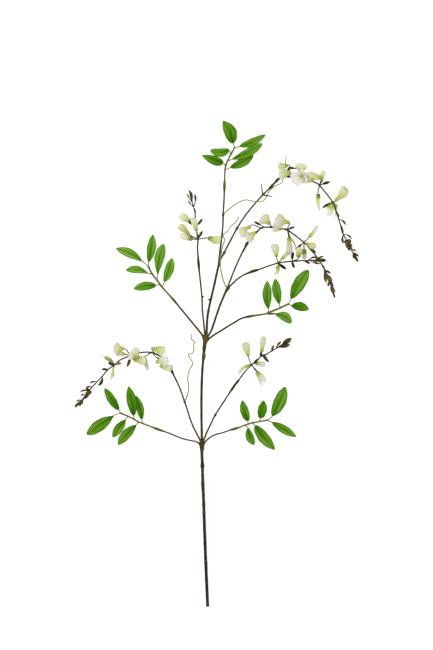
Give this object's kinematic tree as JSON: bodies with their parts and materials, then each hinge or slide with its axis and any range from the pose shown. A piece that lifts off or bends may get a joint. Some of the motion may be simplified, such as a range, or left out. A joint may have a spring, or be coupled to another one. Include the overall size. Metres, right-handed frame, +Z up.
{
  "type": "artificial wisteria flower spray",
  "caption": "Long branching artificial wisteria spray laid flat: plastic stem, pinnate cloth leaves, racemes of cream florets with brown bud tips and thin curled tendrils.",
  "frame": {"origin": "middle of the spray's footprint, on the surface that it lies on", "axes": "+Y along the stem from the cut end to the top leaf, +X to the right of the stem seen from above, +Z up"},
  "size_m": [0.6421, 1.1004, 0.0829],
  "materials": {
    "stem_plastic": "moulded with a fine bark grain, dull olive brown",
    "twig_plastic": "moulded, dull grey brown with olive plug sleeves",
    "leaf_cloth": "printed polyester cloth with pressed veins, satin, vivid green",
    "petal_silk": "thin dyed polyester cloth, cream to yellow green at the base",
    "bud_plastic": "moulded, dark brown with golden olive highlights",
    "tendril_plastic": "thin pale green coating over wire"
  },
  "bodies": {
    "root": {"main_stem_lower": "stem_plastic", "main_stem_upper": "stem_plastic", "centre_branch": "stem_plastic", "right_branch": "stem_plastic", "leaf_stalk_top": "twig_plastic", "leaflet_top_1": "leaf_cloth", "leaflet_top_2": "leaf_cloth", "leaflet_top_3": "leaf_cloth", "leaflet_top_4": "leaf_cloth", "leaflet_top_5": "leaf_cloth", "leaflet_top_6": "leaf_cloth", "leaf_stalk_upper_right": "twig_plastic", "leaflet_upper_right_1": "leaf_cloth", "leaflet_upper_right_2": "leaf_cloth", "leaflet_upper_right_3": "leaf_cloth", "leaflet_upper_right_4": "leaf_cloth", "leaflet_upper_right_5": "leaf_cloth", "leaf_stalk_upper_left": "twig_plastic", "leaflet_upper_left_1": "leaf_cloth", "leaflet_upper_left_2": "leaf_cloth", "leaflet_upper_left_3": "leaf_cloth", "leaflet_upper_left_4": "leaf_cloth", "leaflet_upper_left_5": "leaf_cloth", "leaflet_upper_left_6": "leaf_cloth", "leaf_stalk_lower_left": "twig_plastic", "leaflet_lower_left_1": "leaf_cloth", "leaflet_lower_left_2": "leaf_cloth", "leaflet_lower_left_3": "leaf_cloth", "leaflet_lower_left_4": "leaf_cloth", "leaflet_lower_left_5": "leaf_cloth", "leaflet_lower_left_6": "leaf_cloth", "leaf_stalk_lower_right": "twig_plastic", "leaflet_lower_right_1": "leaf_cloth", "leaflet_lower_right_2": "leaf_cloth", "leaflet_lower_right_3": "leaf_cloth", "leaflet_lower_right_4": "leaf_cloth", "leaflet_lower_right_5": "leaf_cloth", "leaflet_lower_right_6": "leaf_cloth", "flower_stalk_top_right": "twig_plastic", "flower_head_top_right": "petal_silk", "bud_tip_top_right": "bud_plastic", "flower_stalk_middle_right": "twig_plastic", "flower_head_middle_right": "petal_silk", "bud_tip_middle_right": "bud_plastic", "flower_stalk_side_right": "twig_plastic", "flower_head_side_right": "petal_silk", "bud_tip_side_right": "bud_plastic", "flower_stalk_lower_left": "twig_plastic", "flower_head_lower_left": "petal_silk", "bud_tip_lower_left": "bud_plastic", "flower_stalk_lower_right": "twig_plastic", "flower_head_lower_right": "petal_silk", "bud_tip_lower_right": "bud_plastic", "flower_stalk_upper_left": "twig_plastic", "flower_head_upper_left": "petal_silk", "bud_tip_upper_left": "bud_plastic", "tendril_lower": "tendril_plastic", "tendril_middle": "tendril_plastic", "tendril_upper": "tendril_plastic"}
  },
  "joints": []
}
